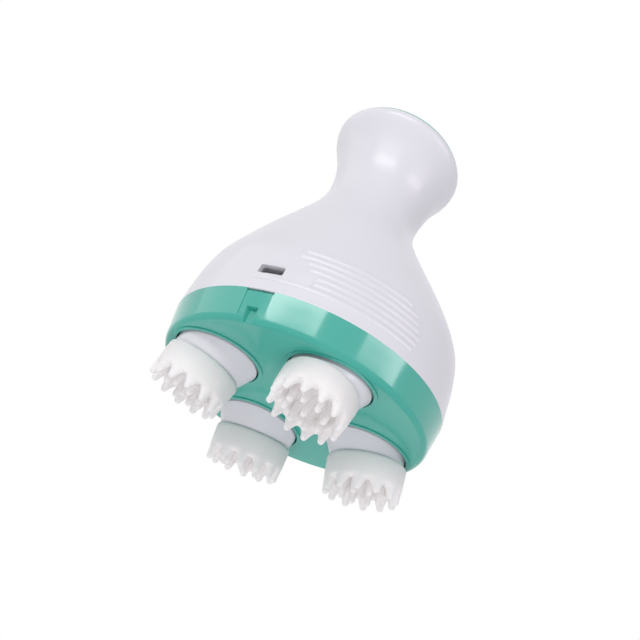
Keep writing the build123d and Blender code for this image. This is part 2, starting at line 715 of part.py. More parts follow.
with BuildPart() as motor:
    with BuildSketch(level(REDUCER_TOP)):
        Circle(MOTOR_RADIUS)
    extrude(amount=MOTOR_TOP - REDUCER_TOP - MOTOR_END_BOSS)
    chamfer(motor.edges().group_by(Axis.Z)[-1], MOTOR_EDGE)
    with BuildSketch(level(MOTOR_TOP - MOTOR_END_BOSS)):
        Circle(MOTOR_RADIUS / 3)
    extrude(amount=MOTOR_END_BOSS)
    # two solder tabs on the brush end
    with BuildSketch(level(MOTOR_TOP - MOTOR_TAB)):
        with Locations((0, MOTOR_TAB_PITCH), (MOTOR_TAB_PITCH, 0)):
            Rectangle(MOTOR_TAB, MOTOR_TAB)
    extrude(amount=MOTOR_TAB)
save(motor, "motor")

# ---------------------------------------------------------------------- massage heads
def head_gear(name):
    """Spur gear on a head shaft, turned into mesh with the drive gear."""
    with BuildPart() as piece:
        with BuildSketch(head_plane(name, GEAR_FOOT, mesh_turn(name))):
            with BuildLine():
                Polyline(*gear_outline(HEAD_TEETH), close=True)
            make_face()
            Circle(SHAFT_RADIUS, mode=Mode.SUBTRACT)
        extrude(amount=GEAR_TOP - GEAR_FOOT)
        with BuildSketch(head_plane(name, GEAR_TOP)):
            Circle(MODULE * HEAD_TEETH / 2 - GEAR_RIM)
            Circle(SHAFT_RADIUS + GEAR_HUB, mode=Mode.SUBTRACT)
        extrude(amount=-GEAR_RECESS, mode=Mode.SUBTRACT)
    save(piece, f"head_gear_{name}")


def head_shaft(name):
    """Steel shaft from the collar, through seal and bushes, to its retaining ring."""
    with BuildPart() as piece:
        with BuildSketch(head_plane(name, SHAFT_FOOT)):
            Circle(SHAFT_RADIUS)
        extrude(amount=SHAFT_TOP - SHAFT_FOOT)
        chamfer(piece.edges().group_by(Axis.Z)[-1], SHAFT_CHAMFER)
        with BuildSketch(head_plane(name, RING_FOOT)):
            Circle(SHAFT_RADIUS)
            Circle(SHAFT_RADIUS - RING_GROOVE_DEPTH, mode=Mode.SUBTRACT)
        extrude(amount=RING_THICKNESS, mode=Mode.SUBTRACT)
        with BuildSketch(head_plane(name, SHAFT_FOOT)):
            Circle(HEAD_SCREW_RADIUS)
        extrude(amount=SHAFT_SCREW_DEPTH, mode=Mode.SUBTRACT)
    save(piece, f"head_shaft_{name}")


def retaining_ring(name):
    """Open snap ring in the shaft's groove, resting over the upper bush."""
    with BuildPart() as piece:
        with BuildSketch(head_plane(name, RING_FOOT)):
            Circle(SHAFT_RADIUS + RING_REACH)
            Circle(SHAFT_RADIUS - RING_GROOVE_DEPTH, mode=Mode.SUBTRACT)
            Rectangle(
                2 * SHAFT_RADIUS, RING_MOUTH,
                align=(Align.MIN, Align.CENTER), mode=Mode.SUBTRACT,
            )
        extrude(amount=RING_THICKNESS)
    save(piece, f"retaining_ring_{name}")


def head_collar(name):
    """Rigid collar: round where it enters the base, leaning where it takes the cap."""
    with BuildPart() as piece:
        with BuildSketch(head_plane(name, COLLAR_FOOT)):
            Circle(COLLAR_RADIUS)
        extrude(amount=COLLAR_TOP - COLLAR_FOOT)
        with BuildSketch(cap_plane(name, CAP_SEAT)):
            Circle(COLLAR_SEAT_RADIUS)
        with BuildSketch(head_plane(name, COLLAR_FOOT)):
            Circle(COLLAR_RADIUS)
        loft()
        with BuildSketch(cap_plane(name, CAP_SEAT)):
            Circle(CAP_POCKET_RADIUS - RUNNING_FIT)
        extrude(amount=-COLLAR_SPIGOT_LENGTH)
        with BuildSketch(cap_plane(name, CAP_SEAT + COLLAR_SPIGOT_LENGTH)):
            Circle(COLLAR_CORE_RADIUS)
        extrude(amount=2 * COLLAR_SPIGOT_LENGTH, mode=Mode.SUBTRACT)
        with BuildSketch(head_plane(name, HUB_FOOT)):
            Circle(HUB_RADIUS)
        extrude(amount=COLLAR_TOP - HUB_FOOT)
        with BuildSketch(head_plane(name, HUB_FOOT)):
            Circle(HEAD_SCREW_RADIUS)
        extrude(amount=SHAFT_FOOT - HUB_FOOT, mode=Mode.SUBTRACT)
        with BuildSketch(head_plane(name, SHAFT_FOOT)):
            Circle(SHAFT_RADIUS)
        extrude(amount=COLLAR_TOP - SHAFT_FOOT, mode=Mode.SUBTRACT)
    save(piece, f"head_collar_{name}")


def collar_screw(name):
    """Screw up through the collar's hub into the end of the shaft."""
    with BuildPart() as piece:
        with BuildSketch(head_plane(name, HUB_FOOT)):
            Circle(HEAD_SCREW_HEAD_RADIUS)
        extrude(amount=-HEAD_SCREW_HEAD_HEIGHT)
        with BuildSketch(head_plane(name, HUB_FOOT)):
            Circle(HEAD_SCREW_RADIUS)
        extrude(amount=HEAD_SCREW_LENGTH)
        with BuildSketch(head_plane(name, HUB_FOOT - HEAD_SCREW_HEAD_HEIGHT)):
            RegularPolygon(HEAD_SCREW_RADIUS, 6)
        extrude(amount=HEAD_SCREW_HEAD_HEIGHT / 2, mode=Mode.SUBTRACT)
    save(piece, f"collar_screw_{name}")


def head_cap(name):
    """Silicone cap: a tapered skirt, fingers joined by a web round it, more inside."""
    floor = CAP_SEAT + CAP_FLOOR
    tips = floor + FINGER_LENGTH
    cap_turn = radians(HEADS[name][3])
    with BuildPart() as piece:
        with BuildSketch(cap_plane(name, CAP_SEAT)):
            Circle(CAP_RIM_RADIUS)
        extrude(amount=-CAP_FLOOR - CAP_WEB, taper=CAP_TAPER)
        fillet(piece.edges().filter_by(GeomType.CIRCLE), CAP_EDGE_RADIUS)
        with BuildSketch(cap_plane(name, floor + CAP_WEB)):
            Circle(CAP_WELL_RADIUS)
        extrude(amount=CAP_WEB, mode=Mode.SUBTRACT)
        with BuildSketch(cap_plane(name, CAP_SEAT)):
            Circle(CAP_POCKET_RADIUS)
        extrude(amount=-CAP_POCKET_DEPTH, mode=Mode.SUBTRACT)
        fingers = []
        for count, root_ring, tip_ring, rise in FINGER_RINGS:
            stations = (
                (tips, tip_ring, FINGER_TIP_RADIUS),
                (tips - FINGER_TIP_ROUNDING, tip_ring, FINGER_NECK_RADIUS),
                (floor + rise - FINGER_TIP_ROUNDING, root_ring, FINGER_ROOT_RADIUS),
            )
            for finger in range(count):
                bearing = 2 * pi * finger / count + cap_turn
                for along, ring, radius in stations:
                    with BuildSketch(cap_plane(name, along)):
                        with Locations((ring * cos(bearing), ring * sin(bearing))):
                            RegularPolygon(radius, FINGER_SIDES)
                fingers.append(loft(ruled=True, mode=Mode.PRIVATE))
        add(fingers)
    save(piece, f"head_cap_{name}")


for head in HEADS:
    head_gear(head)
    head_shaft(head)
    retaining_ring(head)
    head_collar(head)
    collar_screw(head)
    head_cap(head)

# ----------------------------------------------------------- control board and socket
SOCKET_MOUTH = (
    SOCKET_WIDTH - 2 * SOCKET_WALL,
    SOCKET_HEIGHT - 2 * SOCKET_WALL,
    SOCKET_CORNER - SOCKET_WALL,
)
with BuildPart() as charging_socket:
    with BuildSketch(Plane.XZ.offset(-SOCKET_FRONT)):
        with Locations((0, UNDERSIDE + SLOT_LEVEL)):
            RectangleRounded(SOCKET_WIDTH, SOCKET_HEIGHT, SOCKET_CORNER)
    extrude(amount=-SOCKET_LENGTH)
    with BuildSketch(Plane.XZ.offset(-SOCKET_FRONT)):
        with Locations((0, UNDERSIDE + SLOT_LEVEL)):
            RectangleRounded(*SOCKET_MOUTH)
            Rectangle(TONGUE_WIDTH, TONGUE_THICKNESS, mode=Mode.SUBTRACT)
    extrude(amount=SOCKET_BACK - SOCKET_LENGTH, mode=Mode.SUBTRACT)
save(charging_socket, "charging_socket")

with BuildPart() as socket_bezel:
    with BuildSketch(Plane.XZ.offset(-SOCKET_FRONT)):
        with Locations((0, UNDERSIDE + SLOT_LEVEL)):
            RectangleRounded(SLOT_WIDTH, SLOT_HEIGHT, SLOT_CORNER)
            RectangleRounded(*SOCKET_MOUTH, mode=Mode.SUBTRACT)
    extrude(amount=BEZEL_THICKNESS)
save(socket_bezel, "socket_bezel")

with BuildPart() as control_board:
    with BuildSketch(level(BOARD_LEVEL)):
        with Locations((0, (BOARD_FRONT + BOARD_BACK) / 2)):
            RectangleRounded(BOARD_WIDTH, BOARD_BACK - BOARD_FRONT, BOARD_CORNER)
        with Locations((0, -PILLAR_PITCH)):
            Circle(PILLAR_RADIUS + CLEARANCE, mode=Mode.SUBTRACT)
        with Locations(*BOARD_POSTS):
            Circle(SMALL_SCREW_RADIUS + RUNNING_FIT, mode=Mode.SUBTRACT)
    extrude(amount=BOARD_THICKNESS)
save(control_board, "control_board")

with BuildPart() as board_parts:
    with BuildSketch(level(BOARD_LEVEL + BOARD_THICKNESS)):
        with Locations((0, CONTROLLER_Y)):
            Rectangle(CONTROLLER_WIDTH, CONTROLLER_WIDTH)
        with Locations((CHARGER_X, CHARGER_Y), (-CHARGER_X, CHARGER_Y)):
            Rectangle(CHARGER_WIDTH, CHARGER_DEPTH)
    extrude(amount=CHIP_HEIGHT)
save(board_parts, "board_parts")

with BuildPart() as board_screws:
    with BuildSketch(level(BOARD_LEVEL + BOARD_THICKNESS)):
        with Locations(*BOARD_POSTS):
            Circle(SMALL_SCREW_HEAD_RADIUS)
    extrude(amount=SMALL_SCREW_HEAD_HEIGHT)
    with BuildSketch(level(BOARD_LEVEL + BOARD_THICKNESS)):
        with Locations(*BOARD_POSTS):
            Circle(SMALL_SCREW_RADIUS)
    extrude(amount=-SMALL_SCREW_LENGTH)
save(board_screws, "board_screws")

# ---------------------------------------------------------------------------- battery
with BuildPart() as battery_cradle:
    with BuildSketch(level(MOTOR_TOP, y=BATTERY_Y)):
        Circle(CRADLE_BORE + CRADLE_WALL)
    extrude(amount=CRADLE_TOP - MOTOR_TOP)
    with BuildSketch(level(BATTERY_FOOT, y=BATTERY_Y)):
        Circle(CRADLE_BORE)
    extrude(amount=CRADLE_TOP - BATTERY_FOOT, mode=Mode.SUBTRACT)
save(battery_cradle, "battery_cradle")

with BuildPart() as battery_cell:
    with BuildSketch(level(BATTERY_FOOT, y=BATTERY_Y)):
        Circle(BATTERY_RADIUS)
    extrude(amount=BATTERY_LENGTH - BATTERY_TERMINAL)
    fillet(battery_cell.edges().filter_by(GeomType.CIRCLE), BATTERY_EDGE)
    with BuildSketch(level(BATTERY_FOOT + BATTERY_LENGTH - BATTERY_TERMINAL, y=BATTERY_Y)):
        Circle(BATTERY_RADIUS / 3)
    extrude(amount=BATTERY_TERMINAL)
save(battery_cell, "battery_cell")

# -------------------------------------------------------------- handle end and button
with BuildPart() as top_cap:
    with BuildSketch(KNOB_SIDE):
        with BuildLine():
            rim = Line((KNOB_BORE, KNOB_SEAM), (KNOB_SEAM_RADIUS, KNOB_SEAM))
            shoulder = Spline(
                rim @ 1,
                (
                    (KNOB_SEAM_RADIUS + CROWN_RADIUS) / 2 + CROWN_SWELL,
                    CROWN_HEIGHT - CROWN_SWELL,
                ),
                (CROWN_RADIUS, CROWN_HEIGHT),
                tangents=((-0.35, 1.0), (-1.0, 0.2)),
            )
            hole = BUTTON_RADIUS + CLEARANCE
            crown = Spline(
                shoulder @ 1,
                (hole, CROWN_TOP),
                tangents=((-1.0, 0.2), (-1.0, 0.0)),
            )
            spigot_inside = CAP_SPIGOT_RADIUS - CAP_SPIGOT_WALL
            Polyline(
                crown @ 1,
                (hole, CAP_UNDERSIDE),
                (KEY_BOARD_RADIUS, CAP_UNDERSIDE),
                (spigot_inside, KNOB_SEAM),
                (spigot_inside, CAP_SPIGOT_FOOT),
                (CAP_SPIGOT_RADIUS, CAP_SPIGOT_FOOT),
                (CAP_SPIGOT_RADIUS, KNOB_SEAM),
                rim @ 0,
            )
        make_face()
    revolve(axis=KNOB_AXIS)
    # groove for the gasket
    with BuildSketch(knob_level(GROOVE_FOOT)):
        Circle(CAP_SPIGOT_RADIUS)
        Circle(CAP_SPIGOT_RADIUS - GASKET_GROOVE, mode=Mode.SUBTRACT)
    extrude(amount=GROOVE_HEIGHT, mode=Mode.SUBTRACT)
    # posts that carry the key board, with their screw holes
    with BuildSketch(knob_level(KEY_BOARD_TOP)):
        with PolarLocations(KEY_POST_PITCH, 3, start_angle=90):
            Circle(KEY_POST_RADIUS)
    extrude(amount=CROWN_HEIGHT - KEY_BOARD_TOP)
    with BuildSketch(knob_level(KEY_BOARD_TOP)):
        with PolarLocations(KEY_POST_PITCH, 3, start_angle=90):
            Circle(SMALL_SCREW_RADIUS)
    extrude(amount=KEY_SCREW_DEPTH, mode=Mode.SUBTRACT)
    with BuildSketch(knob_level(KEY_BOARD_TOP)):
        with Locations((0, -KEY_POST_PITCH)):
            Circle(LIGHT_RADIUS)
    extrude(amount=CROWN_TOP - KEY_BOARD_TOP, mode=Mode.SUBTRACT)
save(top_cap, "top_cap")

with BuildPart() as top_gasket:
    with BuildSketch(knob_level(GROOVE_FOOT)):
        Circle(CAP_SPIGOT_RADIUS + GASKET_SQUEEZE)
        Circle(CAP_SPIGOT_RADIUS - GASKET_GROOVE, mode=Mode.SUBTRACT)
    extrude(amount=GROOVE_HEIGHT)
save(top_gasket, "top_gasket")

with BuildPart() as power_button:
    with BuildSketch(knob_level(BUTTON_FOOT)):
        Circle(BUTTON_RADIUS)
    extrude(amount=BUTTON_TOP - BUTTON_FOOT)
    fillet(power_button.edges().sort_by(KNOB_AXIS)[-1], BUTTON_EDGE_RADIUS)
    with BuildSketch(knob_level(BUTTON_FOOT)):
        Circle(BUTTON_FLANGE_RADIUS)
    extrude(amount=BUTTON_FLANGE_TOP - BUTTON_FOOT)
    with BuildSketch(knob_level(BUTTON_FOOT)):
        Circle(BUTTON_RADIUS - BUTTON_WALL)
    extrude(amount=BUTTON_TOP - BUTTON_FOOT - BUTTON_WALL, mode=Mode.SUBTRACT)
    with BuildSketch(knob_level(BUTTON_STEM_FOOT)):
        Circle(BUTTON_STEM_RADIUS)
    extrude(amount=BUTTON_TOP - BUTTON_STEM_FOOT - BUTTON_WALL)
save(power_button, "power_button")

with BuildPart() as key_board:
    with BuildSketch(knob_level(KEY_BOARD_TOP)):
        Circle(KEY_BOARD_RADIUS)
        with PolarLocations(KEY_POST_PITCH, 3, start_angle=90):
            Circle(SMALL_SCREW_RADIUS + RUNNING_FIT, mode=Mode.SUBTRACT)
    extrude(amount=-BOARD_THICKNESS)
save(key_board, "key_board")

with BuildPart() as key_screws:
    with BuildSketch(knob_level(KEY_BOARD_TOP - BOARD_THICKNESS)):
        with PolarLocations(KEY_POST_PITCH, 3, start_angle=90):
            Circle(SMALL_SCREW_HEAD_RADIUS)
    extrude(amount=-SMALL_SCREW_HEAD_HEIGHT)
    with BuildSketch(knob_level(KEY_BOARD_TOP - BOARD_THICKNESS)):
        with PolarLocations(KEY_POST_PITCH, 3, start_angle=90):
            Circle(SMALL_SCREW_RADIUS)
    extrude(amount=SMALL_SCREW_LENGTH)
save(key_screws, "key_screws")

with BuildPart() as key_switch:
    with BuildSketch(knob_level(KEY_BOARD_TOP)):
        Rectangle(KEY_SWITCH_WIDTH, KEY_SWITCH_WIDTH)
    extrude(amount=KEY_SWITCH_HEIGHT)
    with BuildSketch(knob_level(KEY_BOARD_TOP + KEY_SWITCH_HEIGHT)):
        Circle(KEY_PLUNGER_RADIUS)
    extrude(amount=KEY_PLUNGER_HEIGHT)
save(key_switch, "key_switch")

with BuildPart() as status_light:
    with BuildSketch(knob_level(KEY_BOARD_TOP)):
        with Locations((0, -KEY_POST_PITCH)):
            Circle(LIGHT_RADIUS)
    extrude(amount=CROWN_TOP - KEY_BOARD_TOP - LIGHT_BELOW_CROWN)
save(status_light, "status_light")
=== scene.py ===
import json
import math

import bmesh
import bpy
from mathutils import Matrix, Vector

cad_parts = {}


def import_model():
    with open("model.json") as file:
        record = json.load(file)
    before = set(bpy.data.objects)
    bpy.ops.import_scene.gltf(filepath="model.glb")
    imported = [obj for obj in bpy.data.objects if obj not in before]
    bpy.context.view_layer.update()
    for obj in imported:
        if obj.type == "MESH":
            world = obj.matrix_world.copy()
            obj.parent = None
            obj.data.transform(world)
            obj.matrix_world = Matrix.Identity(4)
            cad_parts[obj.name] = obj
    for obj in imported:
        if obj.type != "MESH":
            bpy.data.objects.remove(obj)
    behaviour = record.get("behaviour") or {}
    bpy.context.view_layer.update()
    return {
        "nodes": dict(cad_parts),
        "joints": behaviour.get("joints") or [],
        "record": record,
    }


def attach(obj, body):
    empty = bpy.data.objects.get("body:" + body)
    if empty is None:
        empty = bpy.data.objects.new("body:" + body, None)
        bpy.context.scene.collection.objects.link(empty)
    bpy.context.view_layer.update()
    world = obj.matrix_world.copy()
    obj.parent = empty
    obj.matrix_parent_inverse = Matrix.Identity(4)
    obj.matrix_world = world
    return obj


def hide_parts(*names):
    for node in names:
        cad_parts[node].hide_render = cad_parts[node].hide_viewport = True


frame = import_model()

# Looks for the electric scalp massager. Lengths are in metres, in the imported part's frame:
# +Z up, the front faces -Y, and the finger tips stand on Z = 0.

MM = 0.001

# massage heads, as the solids have them
CANT = math.radians(12.5)
CANT_CENTRE = 8.8 * MM            # above the underside, where spin and cap axes cross
CAP_SEAT = 13.6 * MM              # from that crossing down to the cap's rim
# which way each cap leans, from +X, and how far it is turned on its collar
HEAD_LEANS = {
    "front_left": 179.0, "front_right": 266.0, "back_left": 102.0, "back_right": 44.0,
}
CAP_TURNS = {
    "front_left": 7.0, "front_right": 17.0, "back_left": 11.0, "back_right": 0.0,
}
# where each spin axis meets the underside
HEAD_CENTRES = {
    joint["name"][len("head_"):-len("_spin")]: Vector(joint["pos_m"])
    for joint in frame["joints"]
    if joint["name"].startswith("head_")
}
UNDERSIDE = HEAD_CENTRES["front_left"].z
CREASE = UNDERSIDE + 1.5 * MM     # lower edge of the teal band

# silicone cap
RIM_RADIUS = 13.9 * MM
WEB_RADIUS = 13.6 * MM
WEB = 8.9 * MM                    # from the rim to where the outer fingers part
WELL_RADIUS = 9.8 * MM
WELL_FLOOR = 5.5 * MM
POCKET_RADIUS = 11.5 * MM
POCKET_DEPTH = 3.6 * MM
CAP_LENGTH = 13.35 * MM
LIP = 0.8 * MM                    # size of the cap's rounded edges
LIP_CORNER = 0.3 * LIP            # how far the middle of a rounded edge is cut back
CAP_STEPS = 96                    # facets round the cap before it is remeshed
CAP_VOXEL = 0.36 * MM
SMOOTH_FACTOR = 0.5
SMOOTH_PASSES = 6

# fingers
INNER_FINGERS = {
    "foot": WELL_FLOOR, "across": 1.85 * MM, "through": 1.85 * MM, "tip": 1.2 * MM,
}
OUTER_FINGERS = {
    "foot": WEB, "across": 3.1 * MM, "through": 1.95 * MM, "tip": 1.2 * MM,
}
# rings of fingers: how many, ring radius at the roots and at the tips, shape
FINGER_RINGS = (
    (1, 0.0, 0.0, INNER_FINGERS),
    (8, 6.6 * MM, 7.0 * MM, INNER_FINGERS),
    (12, 11.7 * MM, 12.4 * MM, OUTER_FINGERS),
)
FINGER_STEPS = 24                 # facets round a finger
TAPER_STEPS = 6
TAPER_POWER = 1.25                # above 1, a finger slims fastest near its root
TIP_STEPS = 6
ROOT_OVERLAP = 0.8 * MM           # how deep a finger starts inside the cap

# surface detail: noise features per metre
PLASTIC_MOTTLE, PLASTIC_GLOSS, PLASTIC_PEEL = 60.0, 220.0, 900.0
METAL_GRAIN = 1500.0
SILICONE_MOTTLE, SILICONE_GLOSS, SILICONE_GRAIN = 90.0, 300.0, 2500.0
RUBBER_GLOSS, RUBBER_GRAIN = 400.0, 1800.0
PIPE_GLOSS = 400.0
# octaves of noise
BROAD_DETAIL, FINE_DETAIL, PEEL_DETAIL = 3.0, 2.0, 1.0
# noise levels that get the darker and the lighter shade
MOTTLE_ENDS = (0.35, 0.65)
# bumps: height in metres and strength
PLASTIC_RELIEF = (0.01 * MM, 0.25)
METAL_RELIEF = (0.01 * MM, 0.3)
SILICONE_RELIEF = (0.015 * MM, 0.3)
RUBBER_RELIEF = (0.02 * MM, 0.4)
# lowest and highest roughness: shares of the mean, or the roughness itself
PLASTIC_SPREAD = (0.85, 1.15)
METAL_SPREAD = (0.8, 1.3)
SILICONE_ROUGHNESS = (0.52, 0.68)
RUBBER_ROUGHNESS = (0.62, 0.8)
PIPE_ROUGHNESS = (0.1, 0.22)
COAT_ROUGHNESS = 0.08

# floor
FLOOR_REACH = 4.0
FLOOR_ROUGHNESS = 0.9
FLOOR_FADE = (0.3, 1.0)           # distances over which it fades into the surroundings

# lamps: bearing from the front toward +X and height in degrees, width and length, watts,
# colour, and whether reflections show it
LIT_POINT = Vector((0, 0, 0.06))
LAMP_DISTANCE = 1.2
NEUTRAL = (1.0, 1.0, 1.0)
SOFTBOXES = (
    ("front_box", 2.3, 15.5, 0.92, 0.18, 4.7, NEUTRAL, True),
    ("right_box", 76.0, 15.5, 0.77, 0.16, 2.4, (1.0, 0.96, 1.0), True),
    ("left_box", -60.0, 26.0, 1.0, 0.9, 1.7, (0.94, 1.0, 0.97), True),
    ("high", 0.0, 55.0, 0.9, 0.9, 1.0, NEUTRAL, False),
    ("back", 195.0, 30.0, 0.9, 0.9, 2.5, NEUTRAL, False),
    ("under", 30.0, -62.0, 0.9, 0.9, 5.8, NEUTRAL, False),
    ("low_back", 165.0, -35.0, 1.2, 0.9, 1.8, NEUTRAL, False),
    ("low_left", -110.0, -35.0, 1.2, 0.9, 2.2, NEUTRAL, False),
)
AMBIENT_COLOUR = (0.97, 0.95, 1.0, 1.0)
AMBIENT_STRENGTH = 0.48
WHITE = (1.0, 1.0, 1.0, 1.0)

# camera, as fitted to the photograph
FRAME_PIXELS = 640.0
FOCAL_PIXELS = 1400.0
CENTRE_PIXELS = (355.7, 272.5)    # where its axis meets the picture
SENSOR_MM = 36.0
CLIP = (0.01, 20.0)
CAMERA_PLACE = (0.2205, -0.3815, CREASE - 0.1911)
CAMERA_FORWARD = (-0.43691, 0.75587, 0.48762)
CAMERA_RIGHT = (0.88516, 0.26486, 0.38254)


# ------------------------------------------------------------------------- materials
def srgb(red, green, blue):
    """Linear colour from 0-255 display values, by the sRGB curve."""
    def linear(value):
        value /= 255
        return value / 12.92 if value <= 0.04045 else ((value + 0.055) / 1.055) ** 2.4
    return (linear(red), linear(green), linear(blue), 1.0)


def surface(name, colour, roughness, **sockets):
    """A new Principled material, with its tree and shader for the caller to add to."""
    made = bpy.data.materials.new(name)
    made.use_nodes = True
    tree = made.node_tree
    shader = tree.nodes["Principled BSDF"]
    shader.inputs["Base Color"].default_value = colour
    shader.inputs["Roughness"].default_value = roughness
    for socket, value in sockets.items():
        shader.inputs[socket.replace("_", " ")].default_value = value
    return made, tree, shader


def noise(tree, scale, detail=BROAD_DETAIL):
    """Noise over the object's own coordinates, in features per metre."""
    place = tree.nodes.new("ShaderNodeTexCoord")
    texture = tree.nodes.new("ShaderNodeTexNoise")
    texture.inputs["Scale"].default_value = scale
    texture.inputs["Detail"].default_value = detail
    tree.links.new(place.outputs["Object"], texture.inputs["Vector"])
    return texture


def mottle(tree, shader, texture, dark, light):
    """Vary the base colour between two near shades."""
    ramp = tree.nodes.new("ShaderNodeValToRGB")
    stops = zip(ramp.color_ramp.elements, MOTTLE_ENDS, (dark, light))
    for stop, position, shade in stops:
        stop.position = position
        stop.color = shade
    tree.links.new(texture.outputs["Fac"], ramp.inputs["Fac"])
    tree.links.new(ramp.outputs["Color"], shader.inputs["Base Color"])


def relief(tree, shader, texture, height, strength):
    """Fine bumps of a given height."""
    bump = tree.nodes.new("ShaderNodeBump")
    bump.inputs["Distance"].default_value = height
    bump.inputs["Strength"].default_value = strength
    tree.links.new(texture.outputs["Fac"], bump.inputs["Height"])
    tree.links.new(bump.outputs["Normal"], shader.inputs["Normal"])


def vary_roughness(tree, shader, texture, low, high):
    """Let the roughness wander a little, as on a handled surface."""
    spread = tree.nodes.new("ShaderNodeMapRange")
    spread.inputs["To Min"].default_value = low
    spread.inputs["To Max"].default_value = high
    tree.links.new(texture.outputs["Fac"], spread.inputs["Value"])
    tree.links.new(spread.outputs["Result"], shader.inputs["Roughness"])


def moulded_plastic(name, colour, roughness, shade=0.03, coat=0.0):
    """Injection-moulded plastic: even colour, soft gloss and a faint orange peel."""
    made, tree, shader = surface(
        name, colour, roughness, Coat_Weight=coat, Coat_Roughness=COAT_ROUGHNESS,
    )
    darker = tuple(c * (1 - shade) for c in colour[:3]) + (1.0,)
    lighter = tuple(min(c * (1 + shade), 1) for c in colour[:3]) + (1.0,)
    low, high = (roughness * share for share in PLASTIC_SPREAD)
    mottle(tree, shader, noise(tree, PLASTIC_MOTTLE), darker, lighter)
    vary_roughness(tree, shader, noise(tree, PLASTIC_GLOSS), low, high)
    relief(tree, shader, noise(tree, PLASTIC_PEEL, PEEL_DETAIL), *PLASTIC_RELIEF)
    return made


def metal(name, colour, roughness, metallic=1.0):
    """Machined, drawn or plated metal with a fine grain."""
    made, tree, shader = surface(name, colour, roughness, Metallic=metallic)
    texture = noise(tree, METAL_GRAIN, FINE_DETAIL)
    low, high = (roughness * share for share in METAL_SPREAD)
    vary_roughness(tree, shader, texture, low, high)
    relief(tree, shader, texture, *METAL_RELIEF)
    return made


def soft_silicone(name, colour, dark, light):
    """Soft translucent white silicone with a dry, very fine surface."""
    made, tree, shader = surface(
        name, colour, roughness=0.6, Specular_IOR_Level=0.3,
        Subsurface_Weight=0.8, Subsurface_Scale=5.0 * MM,
    )
    shader.inputs["Subsurface Radius"].default_value = (1.0, 0.97, 0.93)
    mottle(tree, shader, noise(tree, SILICONE_MOTTLE), dark, light)
    vary_roughness(tree, shader, noise(tree, SILICONE_GLOSS), *SILICONE_ROUGHNESS)
    relief(tree, shader, noise(tree, SILICONE_GRAIN, FINE_DETAIL), *SILICONE_RELIEF)
    return made


def rubber(name, colour):
    """Matt moulded rubber."""
    made, tree, shader = surface(name, colour, roughness=0.7)
    relief(tree, shader, noise(tree, RUBBER_GRAIN, FINE_DETAIL), *RUBBER_RELIEF)
    vary_roughness(tree, shader, noise(tree, RUBBER_GLOSS), *RUBBER_ROUGHNESS)
    return made


def clear_pipe(name, colour):
    """Clear plastic pipe over the status light."""
    made, tree, shader = surface(
        name, colour, roughness=0.15, Transmission_Weight=0.6, IOR=1.49,
    )
    vary_roughness(tree, shader, noise(tree, PIPE_GLOSS), *PIPE_ROUGHNESS)
    return made


# Each material, how it is made and its colour, then roughness, shade and coat for a plastic,
# roughness and metallic for a metal, or the two mottle shades for silicone. Each range of
# roughness stays clear of 0.27, below which the denoiser treats a surface as a mirror: a
# range on both sides of it shows flecks.
FINISH_ROWS = (
    ("housing_white", moulded_plastic, srgb(225, 224, 230), 0.33, 0.006, 0.15),
    ("teal", moulded_plastic, srgb(66, 173, 157), 0.14, 0.02, 0.3),
    ("collar_white", moulded_plastic, srgb(228, 225, 231), 0.33, 0.006, 0.1),
    ("silicone", soft_silicone,
     srgb(240, 237, 236), srgb(237, 234, 233), srgb(243, 240, 239)),
    ("socket_grey", moulded_plastic, srgb(180, 180, 183), 0.5),
    ("seal_rubber", rubber, srgb(26, 26, 28)),
    ("gear_plastic", moulded_plastic, srgb(236, 232, 216), 0.4),
    ("chassis_plastic", moulded_plastic, srgb(58, 60, 64), 0.5),
    ("steel", metal, srgb(198, 200, 203), 0.36),
    ("socket_plating", metal, srgb(205, 206, 208), 0.36, 0.3),
    ("bronze", metal, srgb(190, 148, 92), 0.4),
    ("board_green", moulded_plastic, srgb(24, 92, 54), 0.35, 0.15),
    ("chip_black", moulded_plastic, srgb(30, 30, 32), 0.55),
    ("cell_wrap", moulded_plastic, srgb(46, 92, 158), 0.2),
    ("light_pipe", clear_pipe, srgb(214, 240, 230)),
)
FINISHES = {name: recipe(name, *values) for name, recipe, *values in FINISH_ROWS}


def dress_solids():
    """Give every solid of the frame its slot's finish, and the charging socket its own."""
    slots = {row["node"]: row["material_slot"] for row in frame["record"]["subparts"]}
    slots["charging_socket"] = "socket_plating"
    for node, solid in frame["nodes"].items():
        finish = FINISHES[slots[node]]
        for place in solid.material_slots:
            place.material = finish


# ---------------------------------------------------------------------- silicone caps
def placed(name, data):
    """A new object in the scene."""
    made = bpy.data.objects.new(name, data)
    bpy.context.collection.objects.link(made)
    return made


def lathe(mesh, profile, steps):
    """Add a closed surface about the Z axis.

    The profile is a list of (radius across X, radius along Y, height).
    """
    turn = [2 * math.pi * step / steps for step in range(steps)]
    rings = []
    for across, along, height in profile:
        if across == 0:
            rings.append([mesh.verts.new((0, 0, height))])
        else:
            rings.append([
                mesh.verts.new((across * math.cos(a), along * math.sin(a), height))
                for a in turn
            ])
    for lower, upper in zip(rings, rings[1:]):
        for step in range(steps):
            after = (step + 1) % steps
            corners = [lower[step % len(lower)], lower[after % len(lower)]]
            corners += [upper[after % len(upper)], upper[step % len(upper)]]
            mesh.faces.new(list(dict.fromkeys(corners)))


